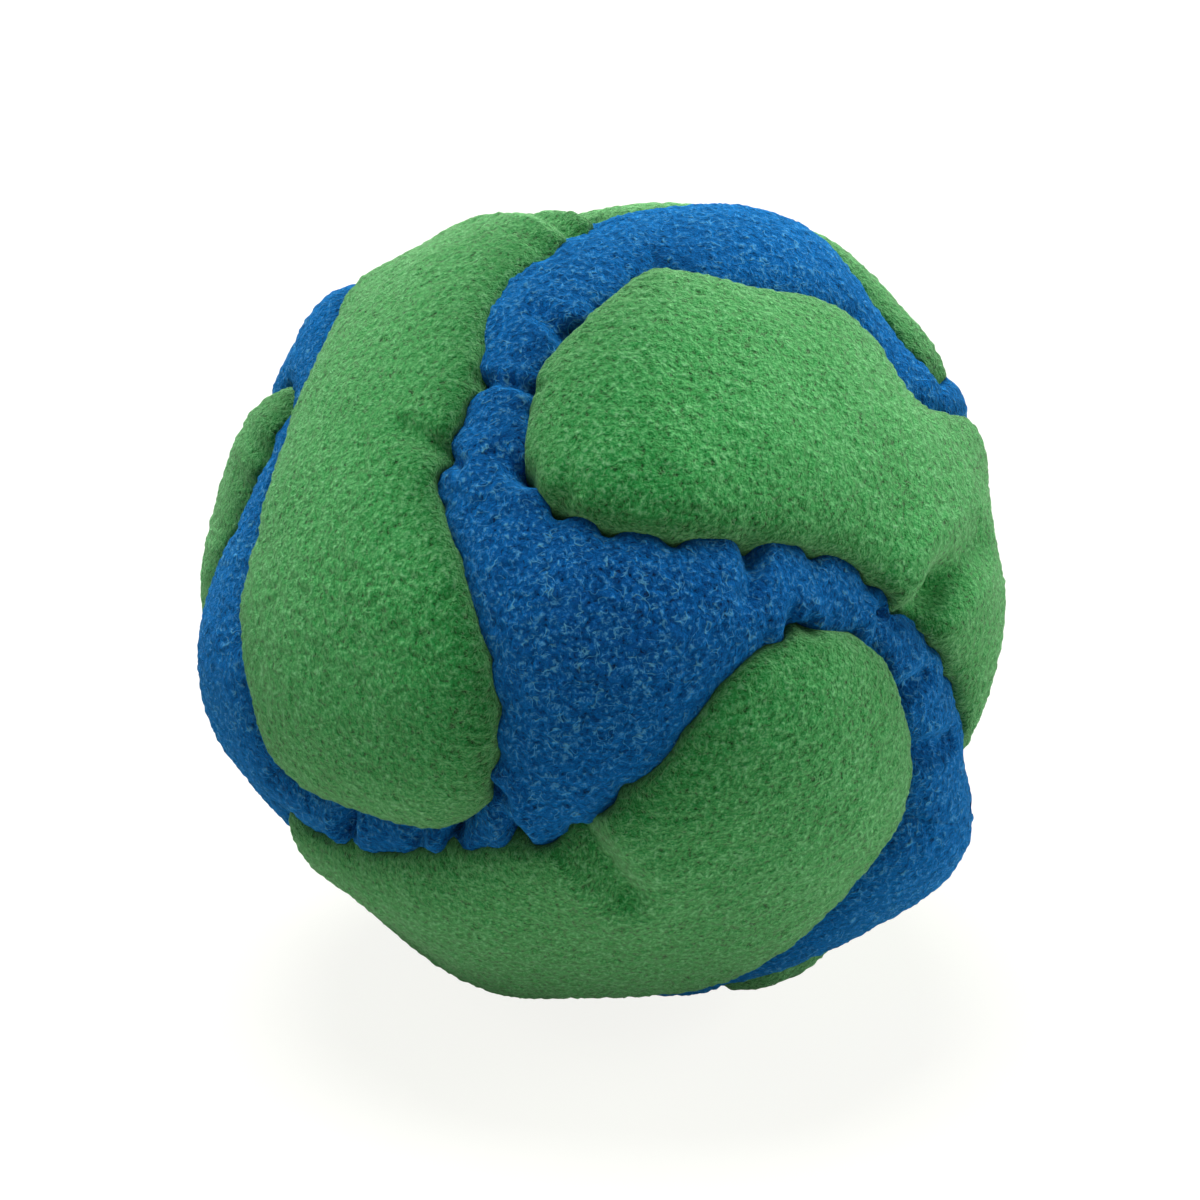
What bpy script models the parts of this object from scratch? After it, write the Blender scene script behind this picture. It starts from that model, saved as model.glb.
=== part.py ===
"""A ten-panel footbag, resting on one of its blue panels.

Six green bone-shaped panels and four blue pinwheel panels are cut from soft brushed
cloth and sewn edge to edge into a ball, which is filled with loose pellets. Each
pinwheel is a triangle with three arms, and the arms of three pinwheels meet in a
small Y of seams. Every seam has its own sewing thread.

Lengths are in metres and angles in degrees. +Z is up, -Y is the front, and the origin
lies in the middle of the small flat on which the ball rests.
"""

import math

import bmesh
import bpy
import numpy as np
from mathutils import Vector
from mathutils.geometry import delaunay_2d_cdt

MM = 0.001

# The ball: radius where the bones are narrowest, and at the corners between them
WAIST_RADIUS = 24.8 * MM
CORNER_RADIUS = 26.2 * MM
FLAT_DEPTH = 0.5 * MM

# The cloth: how deep a seam lies under the ball's round, how far each kind of panel
# swells above its seams, and how far from the seam it takes to do so
SEAM_DEPTH = 1.8 * MM
BONE_SWELL = 2.7 * MM
BONE_SWELL_REACH = 5.5 * MM
PINWHEEL_SWELL = 1.7 * MM
PINWHEEL_SWELL_REACH = 3.2 * MM
CLOTH_THICKNESS = 0.6 * MM
SEAM_ALLOWANCE = 2.2 * MM
LIP_GAP = 0.3 * MM
ALLOWANCE_SPREAD = 0.4 * MM

# The thread and the filling
THREAD_WIDTH = 0.4 * MM
THREAD_DEPTH = 1.7 * MM
THREAD_END_GAP = 0.9 * MM
FILLING_CLEARANCE = 0.9 * MM

# How fine the faces are
SEAM_STEP = 2.7 * MM
FACE_STEP = 3.3 * MM
EDGE_ROLL = 1.3 * MM
FILLING_FACE = 3.6 * MM
FLAT_RIM_POINTS = 18

# The half of a bone's outline from its long end round to the other long end, in degrees
# from the bone's middle. The other half is the same, turned by half a turn.
BONE_OUTLINE_ANGLES = (
    (58, 0), (57, 9), (51, 17.5), (42, 20.5), (30, 21), (20, 20.5), (11, 20),
    (0, 23.5), (-12, 25.5), (-25, 28.5), (-35, 31.5), (-44, 26.5), (-51, 18.5), (-57, 9),
)

# Each bone: the pattern axis through its middle, and the axis along its length
BONES = {
    "front_left": ((1, 0, 0), (0, 1, 0)),
    "front_right": ((0, 0, -1), (-1, 0, 0)),
    "front_low": ((0, -1, 0), (0, 0, 1)),
    "top": ((0, 1, 0), (0, 0, 1)),
    "right": ((-1, 0, 0), (0, 1, 0)),
    "left": ((0, 0, 1), (1, 0, 0)),
}

# Each pinwheel: the pattern corner through its middle
PINWHEELS = {
    "front": (1, -1, -1),
    "bottom": (-1, -1, 1),
    "left": (1, 1, 1),
    "right": (-1, 1, -1),
}

# Each place where three arms meet: its pattern corner
JUNCTIONS = {
    "upper": (1, 1, -1),
    "right": (-1, -1, -1),
    "left": (1, -1, 1),
    "back": (-1, 1, 1),
}

# The photograph looks down at the ball by this angle. The tables below give places as it
# sees them: clock angle, anticlockwise from the right, and angle out from the middle.
VIEW_DOWN_ANGLE = 24

# Where the sewing pulls a bone's edge away from the regular pattern: the bone, the place,
# how far outwards and how far anticlockwise it goes, and how wide the pull reaches
PULL_ANGLES = (
    ("front_left", -118, 26, 0.8, -3.4, 15),
    ("front_left", -126, 45, -1.5, 0, 12),
    ("front_left", -122, 39, 1, 2, 10),
    ("front_left", -172, 19, 1.1, 0, 10),
    ("front_left", 179, 66, 3, 0, 10),
    ("front_left", 164, 64, -2.5, 0, 9),
    ("front_left", 146, 31, 2, 1.2, 12),
    ("front_left", 107, 54, 0.6, 2.4, 13),
    ("front_left", 168, 70, -5.5, 0, 28),
    ("front_left", 138, 76, -2, 0, 10),
    ("front_left", 134, 90, -16, -4, 20),
    ("front_left", 99, 76, 0, -6, 13),
    ("front_left", 119, 42, 0, -1.1, 8),
    ("front_left", -142, 57, -2, -0.6, 9),
    ("front_low", -146, 75, -2.5, -1.5, 8),
    ("front_low", -137, 70, 5, -5, 13),
    ("front_low", -126, 54, -2.8, 0, 15),
    ("front_low", -75, 25, 1.3, 0.8, 10),
    ("front_low", -60, 74, 1.4, 0, 10),
    ("front_low", -5, 36, 1, 3.5, 14),
    ("front_low", -45, 23, 0.9, 0, 14),
    ("front_low", -42, 66, -3.5, 0, 17),
    ("front_low", -38, 66, -3, 0, 9),
    ("front_low", -8, 28, 0, -1.4, 7),
    ("front_right", 102, 48, -3.5, -3.5, 16),
    ("front_right", 86, 54, -4.5, 0, 7),
    ("front_right", 46, 14, -2.5, -1, 14),
    ("front_right", -6, 58, 2, 3.5, 12),
    ("front_right", -3, 49, 1.5, 1, 9),
    ("front_right", -19, 67, 3, 1, 9),
    ("front_right", 70, 59, -5, 0, 13),
    ("front_right", 40, 68, 3.5, 0, 9),
    ("front_right", 34, 78, -10, 0, 13),
    ("front_right", 125, 19, 0.6, 1.8, 9),
    ("front_right", 113, 29, 0, -1.2, 7),
    ("front_right", 27, 20, 0.7, 1.3, 12),
    ("front_right", 5, 40, 3.3, 2.1, 9),
    ("front_right", 86, 50, -2, 0, 8),
    ("front_right", -3, 48, 0, -1.3, 7),
    ("top", 74, 75, 19, 0, 20),
    ("top", 44, 74, 3, -5, 18),
    ("top", 40, 88, -11, -4, 18),
    ("top", 48, 90, 0, -3, 8),
    ("top", 33, 94, 2, -4, 14),
    ("right", -46, 75, 19, 0, 20),
    ("right", -76, 74, 3, -5, 18),
    ("right", -70, 94, -8, 4, 18),
    ("left", -166, 75, 19, 0, 20),
    ("left", 164, 74, 3, -5, 18),
    ("left", 154, 90, -15, -19, 22),
    ("left", 168, 86, -3, 4, 13),
    ("left", 160, 72, 0, 2.5, 8),
    ("left", 150, 86, 4.5, -12.5, 11),
)

# Where the pellets push the cloth out: the place, how wide, and how high as a share of
# BULGE_RISE
BULGE_RISE = 2.4 * MM
BULGE_SHARES = (
    (62, 76, 16, 0.85),
    (31, 82, 11, 0.65),
    (8, 86, 14, -0.65),
    (-19, 86, 12, -1.1),
    (-36, 78, 14, 1.15),
    (-67, 84, 18, 0.6),
    (-92, 86, 9, -0.15),
    (-125, 84, 13, -0.65),
    (-150, 84, 9, -0.05),
    (-168, 78, 16, 0.6),
    (166, 84, 8, -0.2),
    (152, 84, 9, 0.2),
    (133, 88, 9, 0.6),
    (118, 82, 12, -0.2),
    (94, 84, 11, -0.45),
)

# Linear colours, and how rough each surface is
GREEN_CLOTH = (0.064, 0.237, 0.082, 1.0)
BLUE_CLOTH = (0.004, 0.084, 0.220, 1.0)
GREEN_THREAD = (0.040, 0.160, 0.055, 1.0)
PELLETS = (0.600, 0.580, 0.520, 1.0)
CLOTH_ROUGHNESS = 0.95
THREAD_ROUGHNESS = 0.6
PELLET_ROUGHNESS = 0.5

# How curves and faces are worked out: points on a curve between two given ones, steps
# towards the place where arms meet, how close face points may come to others, and the
# sizes tried for the resting flat
POINTS_PER_SPAN = 16
MEETING_STEPS = 12
FILLING_DIVISIONS = 4
CLEAR_SHARE = 0.62
CLEAR_RING_SHARE = 0.9
SAME_POINT_SHARE = 1e-7
FLAT_RIM_TRIAL_ANGLES = np.arange(3, 20, 0.25)
FLATNESS_SHARE = 0.001
STEEP_SHARE = 0.8


def unit(vectors):
    return vectors / np.linalg.norm(vectors, axis=-1, keepdims=True)


def pattern_turn():
    """The turn that takes the pattern's axes to the ball's: one pinwheel straight down
    and another at the front."""
    up = -unit(np.array(PINWHEELS["bottom"], float))
    front = unit(np.array(PINWHEELS["front"], float))
    back = -unit(front - front.dot(up) * up)
    return np.array([np.cross(back, up), back, up])


TURN = pattern_turn()


def view_directions(clock, outward):
    """A place in the photograph's view, the way outwards there and the way round."""
    clock, outward, down = (math.radians(a) for a in (clock, outward, VIEW_DOWN_ANGLE))
    right = np.array([1.0, 0.0, 0.0])
    towards = np.array([0.0, -math.cos(down), math.sin(down)])
    upward = np.cross(towards, right)
    side = math.cos(clock) * right + math.sin(clock) * upward
    place = math.cos(outward) * towards + math.sin(outward) * side
    out = -math.sin(outward) * towards + math.cos(outward) * side
    around = -math.sin(clock) * right + math.cos(clock) * upward
    return place, out, around


def angles_from(directions, place):
    return np.degrees(np.arccos(np.clip(directions @ place, -1, 1)))


def round_radius(directions):
    """The ball's round without seams: a little cube-like, with some bulges."""
    fourth = np.sum((directions @ TURN) ** 4, axis=-1)
    corner_share = (1 - fourth) / (1 - 1 / 3)
    radius = WAIST_RADIUS + (CORNER_RADIUS - WAIST_RADIUS) * corner_share
    for clock, outward, reach, rise_share in BULGE_SHARES:
        place = view_directions(clock, outward)[0]
        fall = np.exp(-((angles_from(directions, place) / reach) ** 2))
        radius = radius + BULGE_RISE * rise_share * fall
    return radius


def seam_radius(directions):
    return round_radius(directions) - SEAM_DEPTH


DOWN = np.array([[0.0, 0.0, -1.0]])
BOTTOM_RADIUS = seam_radius(DOWN)[0] + PINWHEEL_SWELL


def stand(points, floor=0.0):
    """Points round the ball's middle, moved up so that it rests on its flat at z = 0.
    None of them stays under the floor."""
    placed = points + np.array([0, 0, BOTTOM_RADIUS - FLAT_DEPTH])
    placed[:, 2] = np.maximum(placed[:, 2], floor)
    return placed


def smooth_loop(points):
    """A closed smooth curve through the points."""
    before, after = np.roll(points, 1, axis=0), np.roll(points, -1, axis=0)
    second = np.roll(points, -2, axis=0)
    spans = []
    for step in np.arange(POINTS_PER_SPAN) / POINTS_PER_SPAN:
        spans.append(0.5 * (
            2 * points
            + (after - before) * step
            + (2 * before - 5 * points + 4 * after - second) * step ** 2
            + (3 * points - before - 3 * after + second) * step ** 3
        ))
    return np.stack(spans, axis=1).reshape(-1, 2)


def bone_outline(name):
    """The seam round a bone, as directions from the ball's middle."""
    half = np.array(BONE_OUTLINE_ANGLES, float)
    flat = np.radians(smooth_loop(np.concatenate([half, -half])))
    away = np.linalg.norm(flat, axis=1)
    middle, along = (unit(np.array(axis, float)) for axis in BONES[name])
    across = np.cross(middle, along)
    sides = flat[:, :1] * along + flat[:, 1:] * across
    outline = np.cos(away)[:, None] * middle + (np.sin(away) / away)[:, None] * sides
    outline = outline @ TURN.T
    moved = outline.copy()
    for bone, clock, outward, out_angle, round_angle, reach in PULL_ANGLES:
        if bone == name:
            place, out, around = view_directions(clock, outward)
            fall = np.exp(-((angles_from(outline, place) / reach) ** 2))
            pull = math.radians(out_angle) * out + math.radians(round_angle) * around
            moved += fall[:, None] * pull
    return unit(moved)


def evenly(line, step):
    """The open line again, with its two ends kept and its points one step apart."""
    runs = np.linalg.norm(np.diff(line, axis=0), axis=1)
    along = np.concatenate([[0], np.cumsum(runs)])
    count = max(2, round(along[-1] / step) + 1)
    places = np.linspace(0, along[-1], count)
    return unit(np.stack([np.interp(places, along, line[:, k]) for k in range(3)], axis=1))


def stretch_of(outline, start, stop):
    """The part of a closed outline from one of its points on to another."""
    if stop < start:
        stop += len(outline)
    return outline[np.arange(start, stop + 1) % len(outline)]


def lay_out_seams():
    """Every seam once: two halves of each bone's outline, one for each pinwheel that it
    borders, and three short seams at each junction."""
    step = SEAM_STEP / CORNER_RADIUS
    middles = {name: unit(TURN @ np.array(c, float)) for name, c in PINWHEELS.items()}
    outlines = {bone: bone_outline(bone) for bone in BONES}
    ends, arms = {}, {}
    for name, corner in JUNCTIONS.items():
        around = [bone for bone in BONES if np.dot(BONES[bone][0], corner) > 0]
        centre = unit(TURN @ np.array(corner, float))
        for _ in range(MEETING_STEPS):
            nearest = {bone: int(np.argmax(outlines[bone] @ centre)) for bone in around}
            points = [outlines[bone][nearest[bone]] for bone in around]
            centre = unit(np.sum(points, axis=0))
        arms[name] = (centre, points)
        for bone in around:
            ends.setdefault(bone, []).append((name, nearest[bone]))
    halves = {}
    for bone, pair in ends.items():
        for (first, start), (second, stop) in (pair, pair[::-1]):
            half = evenly(stretch_of(outlines[bone], start, stop), step)
            inner = half[len(half) // 2]
            pinwheel = max(middles, key=lambda name: middles[name].dot(inner))
            halves[bone, pinwheel] = (first, second, half)
    return halves, arms


HALVES, ARMS = lay_out_seams()


def bone_loop(bone):
    """The seam points round a bone, in order."""
    pieces = [entry for (name, _), entry in HALVES.items() if name == bone]
    return np.concatenate([half[:-1] for _, _, half in pieces])


def pinwheel_loop(pinwheel):
    """The seam points round a pinwheel: along a bone, in to a junction's middle, out to
    the next bone and so on. It runs the other way round than the bones do."""
    own = {
        entry[1]: entry for (_, name), entry in HALVES.items() if name == pinwheel
    }
    corner = next(iter(own))
    loop = []
    for _ in own:
        start, stop, half = own[corner]
        backward = half[::-1]
        loop.append(backward)
        centre, _ = ARMS[start]
        loop.append(centre[None, :])
        corner = start
    return np.concatenate(loop)


def inset(loop, distance):
    """The loop moved sideways into its panel by a distance along the ball."""
    before, after = unit(np.roll(loop, 1, axis=0)), unit(np.roll(loop, -1, axis=0))
    arriving = unit(loop - before)
    leaving = unit(after - loop)
    side_in = unit(np.cross(loop, arriving))
    side_out = unit(np.cross(loop, leaving))
    middle = unit(side_in + side_out)
    lean = np.sum(middle * side_in, axis=1, keepdims=True)
    angle = distance / seam_radius(loop)[:, None]
    return unit(loop + middle * angle / lean)


def distance_to(loop, directions):
    """The distance along the ball from each direction to the closed loop."""
    nearest = np.full(len(directions), math.pi)
    for start, stop in zip(loop, np.roll(loop, -1, axis=0)):
        span = stop - start
        share = np.clip((directions - start) @ span / span.dot(span), 0, 1)
        foot = unit(start + share[:, None] * span)
        angle = np.arccos(np.clip(np.sum(directions * foot, axis=1), -1, 1))
        nearest = np.minimum(nearest, angle)
    return nearest * seam_radius(directions)


def swell(distance, height, reach):
    """How far a panel stands above its seam, at a distance from the seam."""
    share = np.clip(distance / reach, 0, 1)
    return height * np.sqrt(1 - (1 - share) ** 2)


def flatten_chart(directions, middle, along):
    """Directions as flat points: their angle from the middle, the way that they lie."""
    across = np.cross(middle, along)
    away = np.arccos(np.clip(directions @ middle, -1, 1))
    side = np.stack([directions @ along, directions @ across], axis=1)
    return unit(side) * away[:, None]


def unflatten_chart(flat, middle, along):
    away = np.linalg.norm(flat, axis=1)
    across = np.cross(middle, along)
    side = flat[:, :1] * along + flat[:, 1:] * across
    share = np.sinc(away / math.pi)[:, None]
    return unit(np.cos(away)[:, None] * middle + share * side)


def inside(flat, loop):
    """Which flat points lie inside the closed flat loop."""
    x, y = flat[:, :1], flat[:, 1:]
    x1, y1 = loop[:, 0], loop[:, 1]
    x2, y2 = np.roll(x1, -1), np.roll(y1, -1)
    crosses = (y1 > y) != (y2 > y)
    rise = np.where(y2 == y1, 1, y2 - y1)
    left = x < x1 + (y - y1) * (x2 - x1) / rise
    return np.sum(crosses & left, axis=1) % 2 == 1


def fill_loop(loop, rings, middle, along, spacing):
    """Triangles that fill a loop on the ball, through the points of some rings in it.
    The loop's points come first."""
    rim = flatten_chart(loop, middle, along)
    kept = flatten_chart(rings, middle, along)
    low, high = rim.min(axis=0), rim.max(axis=0)
    row_height = spacing * math.sqrt(3) / 2
    rows = np.arange(low[1], high[1], row_height)
    grid = []
    for index, y in enumerate(rows):
        shift = spacing / 2 * (index % 2)
        xs = np.arange(low[0] + shift, high[0], spacing)
        grid.append(np.stack([xs, np.full(len(xs), y)], axis=1))
    grid = np.concatenate(grid)
    grid = grid[inside(grid, rim)]
    taken = np.concatenate([rim, kept])
    clear = np.min(np.linalg.norm(grid[:, None] - taken[None], axis=2), axis=1)
    grid = np.concatenate([kept, grid[clear > CLEAR_SHARE * spacing]])
    points = np.concatenate([rim, grid])
    count = len(rim)
    edges = [(k, (k + 1) % count) for k in range(count)]
    corners = [Vector(point) for point in points]
    made = delaunay_2d_cdt(corners, edges, [], 1, SAME_POINT_SHARE)
    if len(made[0]) != len(points):
        raise ValueError("a panel's outline crosses itself")
    return np.concatenate([loop, unflatten_chart(grid, middle, along)]), made[2]


def clear_ring(loop, distance, others):
    """The points at a distance inside the loop that lie that far from it and from the
    other points."""
    ring = inset(loop, distance)
    ring = ring[distance_to(loop, ring) > distance * CLEAR_RING_SHARE]
    if len(others):
        nearest = np.max(ring @ others.T, axis=1)
        ring = ring[np.arccos(np.clip(nearest, -1, 1)) * CORNER_RADIUS > distance]
    return ring


def flat_rim(middle, along):
    """Points round the flat that the ball rests on, if it is on the panel at middle."""
    if middle[2] > -1 + FLATNESS_SHARE:
        return np.empty((0, 3))
    turns = np.arange(FLAT_RIM_POINTS) * 2 * math.pi / FLAT_RIM_POINTS
    ways = np.stack([np.cos(turns), np.sin(turns)], axis=1)
    rim = np.empty((0, 3))
    for angle in np.radians(FLAT_RIM_TRIAL_ANGLES):
        ring = unflatten_chart(angle * ways, middle, along)
        heights = ring[:, 2] * (seam_radius(ring) + PINWHEEL_SWELL)
        if heights.max() > FLAT_DEPTH - BOTTOM_RADIUS:
            break
        rim = ring
    return rim


def panel_mesh(name, loop, middle, along, height, reach):
    """A panel as a shell of cloth with its edges turned in at the seam."""
    lip = LIP_GAP / 2
    outer_rim = inset(loop, lip)
    inner_rim = inset(loop, lip + CLOTH_THICKNESS)
    outer_foot = inset(loop, lip + ALLOWANCE_SPREAD)
    inner_foot = inset(loop, lip + ALLOWANCE_SPREAD + CLOTH_THICKNESS)
    spacing = FACE_STEP / CORNER_RADIUS
    base = flat_rim(middle, along)
    roll = clear_ring(loop, EDGE_ROLL, base)
    kept = np.concatenate([roll, base])
    outer, outer_faces = fill_loop(outer_rim, kept, middle, along, spacing)
    inner, inner_faces = fill_loop(inner_rim, base, middle, along, spacing)

    def skin(directions, drop):
        lift = swell(distance_to(loop, directions) - lip, height, reach)
        radius = seam_radius(directions) + lift - drop
        return stand(directions * radius[:, None], drop)

    count = len(loop)
    outer_points = skin(outer, 0.0)
    inner_points = skin(inner, CLOTH_THICKNESS)
    foot = (seam_radius(loop) - SEAM_ALLOWANCE)[:, None]
    outer_feet = stand(outer_foot * foot)
    inner_feet = stand(inner_foot * foot)
    points = np.concatenate([outer_points, inner_points, outer_feet, inner_feet])
    first_inner = len(outer_points)
    first_outer_foot = first_inner + len(inner_points)
    first_inner_foot = first_outer_foot + count

    faces = [tuple(face) for face in outer_faces]
    faces += [tuple(first_inner + v for v in reversed(face)) for face in inner_faces]
    rings = (0, first_outer_foot, first_inner_foot, first_inner)
    for upper, lower in zip(rings, rings[1:]):
        for k in range(count):
            n = (k + 1) % count
            faces.append((upper + n, upper + k, lower + k, lower + n))
    return make_object(name, points, faces)


def make_object(name, points, faces):
    mesh = bpy.data.meshes.new(name)
    mesh.from_pydata([tuple(p) for p in points], [], faces)
    shape = bmesh.new()
    shape.from_mesh(mesh)
    bmesh.ops.triangulate(shape, faces=shape.faces)
    bmesh.ops.recalc_face_normals(shape, faces=shape.faces)
    if shape.calc_volume(signed=True) < 0:
        bmesh.ops.reverse_faces(shape, faces=shape.faces)
    shape.to_mesh(mesh)
    shape.free()
    mesh.shade_smooth()
    thing = bpy.data.objects.new(name, mesh)
    bpy.context.collection.objects.link(thing)
    return thing


def thread_mesh(name, loop):
    """A closed loop of thread that lies in the fork under a seam's lips."""
    count = len(loop)
    side = unit(np.cross(loop, unit(np.roll(loop, -1, axis=0) - np.roll(loop, 1, axis=0))))
    radius = seam_radius(loop) - THREAD_DEPTH
    half = THREAD_WIDTH / 2
    rings = [
        loop * (radius + half)[:, None],
        loop * radius[:, None] + side * half,
        loop * (radius - half)[:, None],
        loop * radius[:, None] - side * half,
    ]
    faces = []
    for ring in range(4):
        here, following = ring * count, (ring + 1) % 4 * count
        for k in range(count):
            n = (k + 1) % count
            faces.append((here + k, here + n, following + n, following + k))
    return make_object(name, stand(np.concatenate(rings)), faces)


def junction_thread_mesh(name, centre, points):
    """The thread of a junction's three short seams, as one flat Y."""
    half = THREAD_WIDTH / 2
    angles = [math.atan2(*reversed(flat)) for flat in junction_chart(centre, points)]
    order = sorted(range(3), key=lambda k: angles[k])
    flat = junction_chart(centre, points)[order]
    depth = seam_radius(centre[None, :])[0] - THREAD_DEPTH
    outline = []
    for k in range(3):
        reach = np.linalg.norm(flat[k]) * depth
        along = flat[k] / np.linalg.norm(flat[k])
        across = np.array([-along[1], along[0]])
        tip = along * (reach - THREAD_END_GAP)
        following = flat[(k + 1) % 3] / np.linalg.norm(flat[(k + 1) % 3])
        crotch = along + following
        crotch = crotch / np.linalg.norm(crotch)
        lean = abs(crotch @ across)
        outline += [tip - across * half, tip + across * half, crotch * half / lean]
    outline = np.array(outline)
    side_a, side_b = chart_axes(centre)
    flat_points = outline[:, :1] * side_a + outline[:, 1:] * side_b
    rings = []
    for rise in (half, -half):
        directions = unit(centre * depth + flat_points)
        rings.append(directions * (seam_radius(directions) - THREAD_DEPTH + rise)[:, None])
    count = len(outline)
    faces = [tuple(range(count)), tuple(reversed(range(count, 2 * count)))]
    for k in range(count):
        n = (k + 1) % count
        faces.append((k + count, n + count, n, k))
    return make_object(name, stand(np.concatenate(rings)), faces)


def chart_axes(centre):
    """Two axes square to a direction and to each other."""
    guide = np.array([0.0, 0.0, 1.0])
    if abs(centre[2]) > STEEP_SHARE:
        guide = np.array([0.0, 1.0, 0.0])
    side_a = unit(np.cross(guide, centre))
    return side_a, np.cross(centre, side_a)


def junction_chart(centre, points):
    side_a, _ = chart_axes(centre)
    return flatten_chart(np.array(points), centre, side_a)


def filling_mesh(name):
    """The pellets as one body: a ball that clears the turned-in edges and rises under
    the middle of each panel."""
    shape = bmesh.new()
    bmesh.ops.create_icosphere(shape, subdivisions=FILLING_DIVISIONS, radius=CORNER_RADIUS)
    shape.verts.ensure_lookup_table()
    directions = unit(np.array([tuple(v.co) for v in shape.verts]))
    low = seam_radius(directions) - SEAM_ALLOWANCE - FILLING_CLEARANCE
    radius = low.copy()
    edge = LIP_GAP / 2 + ALLOWANCE_SPREAD + CLOTH_THICKNESS + FILLING_CLEARANCE
    for _, loop, _, _, height, reach in panels():
        middle_of_loop = unit(loop.sum(axis=0))
        near = directions @ middle_of_loop > 0
        away = distance_to(loop, directions)
        flat = flatten_chart(directions, middle_of_loop, chart_axes(middle_of_loop)[0])
        rim = flatten_chart(loop, middle_of_loop, chart_axes(middle_of_loop)[0])
        own = near & inside(flat, rim)
        share = np.clip((away - edge - FILLING_FACE) / FILLING_FACE, 0, 1)
        high = seam_radius(directions) + swell(away, height, reach)
        high = high - CLOTH_THICKNESS - FILLING_CLEARANCE
        radius = np.where(own, low + (high - low) * share, radius)
    points = stand(directions * radius[:, None], CLOTH_THICKNESS + FILLING_CLEARANCE)
    faces = [tuple(v.index for v in face.verts) for face in shape.faces]
    shape.free()
    return make_object(name, points, faces)


def panels():
    """Each panel: its name, seam loop, middle, long axis, swell and reach."""
    for bone, (middle, along) in BONES.items():
        yield (f"bone_panel_{bone}", bone_loop(bone), TURN @ unit(np.array(middle, float)),
               TURN @ unit(np.array(along, float)), BONE_SWELL, BONE_SWELL_REACH)
    for pinwheel, corner in PINWHEELS.items():
        middle = unit(TURN @ np.array(corner, float))
        yield (f"pinwheel_panel_{pinwheel}", pinwheel_loop(pinwheel), middle,
               chart_axes(middle)[0], PINWHEEL_SWELL, PINWHEEL_SWELL_REACH)


def make_material(name, colour, roughness):
    material = bpy.data.materials.new(name)
    material.use_nodes = True
    shader = material.node_tree.nodes["Principled BSDF"]
    shader.inputs["Base Color"].default_value = colour
    shader.inputs["Roughness"].default_value = roughness
    shader.inputs["Metallic"].default_value = 0.0
    return material


def build():
    for old in list(bpy.data.objects):
        bpy.data.objects.remove(old, do_unlink=True)
    for name, loop, middle, along, height, reach in panels():
        panel = panel_mesh(name, loop, middle, along, height, reach)
        colour = GREEN_CLOTH if name.startswith("bone") else BLUE_CLOTH
        panel.data.materials.append(make_material(name, colour, CLOTH_ROUGHNESS))
    for bone in BONES:
        thread = thread_mesh(f"seam_thread_{bone}", bone_loop(bone))
        thread.data.materials.append(
            make_material(thread.name, GREEN_THREAD, THREAD_ROUGHNESS))
    for junction, (centre, points) in ARMS.items():
        thread = junction_thread_mesh(f"junction_thread_{junction}", centre, points)
        thread.data.materials.append(
            make_material(thread.name, GREEN_THREAD, THREAD_ROUGHNESS))
    filling = filling_mesh("pellet_filling")
    filling.data.materials.append(
        make_material(filling.name, PELLETS, PELLET_ROUGHNESS))


build()
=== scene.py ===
# %% [markdown]
# # A footbag of green bone panels and blue pinwheel panels
# A footbag is a small soft ball for kicking. This one is sewn from ten pieces of brushed
# microfibre fleece and filled with loose pellets. The CAD model holds the plain solids.
# This script gives them the puffed cloth, the puckered seams and the nap that the eye sees.
# The cloth is worked out in millimetres and turned to metres when a mesh is made.

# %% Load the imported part
import math

import bpy
import numpy as np
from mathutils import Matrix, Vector, noise
from mathutils.geometry import delaunay_2d_cdt


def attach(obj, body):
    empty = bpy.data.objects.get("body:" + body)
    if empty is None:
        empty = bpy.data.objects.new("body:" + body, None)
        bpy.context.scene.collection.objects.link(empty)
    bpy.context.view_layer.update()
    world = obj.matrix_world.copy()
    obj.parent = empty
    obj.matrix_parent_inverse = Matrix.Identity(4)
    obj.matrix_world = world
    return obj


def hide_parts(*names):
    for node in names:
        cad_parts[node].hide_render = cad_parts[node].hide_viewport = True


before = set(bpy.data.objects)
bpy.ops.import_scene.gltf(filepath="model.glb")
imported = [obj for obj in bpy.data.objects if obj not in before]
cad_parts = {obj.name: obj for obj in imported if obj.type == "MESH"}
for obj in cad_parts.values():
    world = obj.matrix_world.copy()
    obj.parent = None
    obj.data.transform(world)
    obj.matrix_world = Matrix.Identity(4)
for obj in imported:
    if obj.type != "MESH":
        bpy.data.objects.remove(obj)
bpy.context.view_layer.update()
MM = 0.001
print("CAD nodes:", len(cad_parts))

# %% [markdown]
# ## The ball's round
# A sewn ball is never a true sphere. The pellets push the cloth out between the seams,
# and the seams hold it in. That could be sculpted by hand in Blender, but the CAD model
# already follows a formula: a little cube-like, with some wide bulges and hollows. The
# same formula here keeps the cloth on the solids.

# %% Sizes in mm, and the pattern's directions
WAIST_RADIUS = 24.8
CORNER_RADIUS = 26.2
SEAM_DEPTH = 1.8
FLAT_DEPTH = 0.5
BOTTOM_SWELL = 1.7
SEAM_ALLOWANCE = 2.0

# Each bone: the pattern axis through its middle, and the axis along its length
BONES = {
    "front_left": ((1, 0, 0), (0, 1, 0)),
    "front_right": ((0, 0, -1), (-1, 0, 0)),
    "front_low": ((0, -1, 0), (0, 0, 1)),
    "top": ((0, 1, 0), (0, 0, 1)),
    "right": ((-1, 0, 0), (0, 1, 0)),
    "left": ((0, 0, 1), (1, 0, 0)),
}
PINWHEELS = {
    "front": (1, -1, -1),
    "bottom": (-1, -1, 1),
    "left": (1, 1, 1),
    "right": (-1, 1, -1),
}
JUNCTIONS = {
    "upper": (1, 1, -1),
    "right": (-1, -1, -1),
    "left": (1, -1, 1),
    "back": (-1, 1, 1),
}


def unit(vectors):
    return vectors / np.linalg.norm(vectors, axis=-1, keepdims=True)


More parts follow.
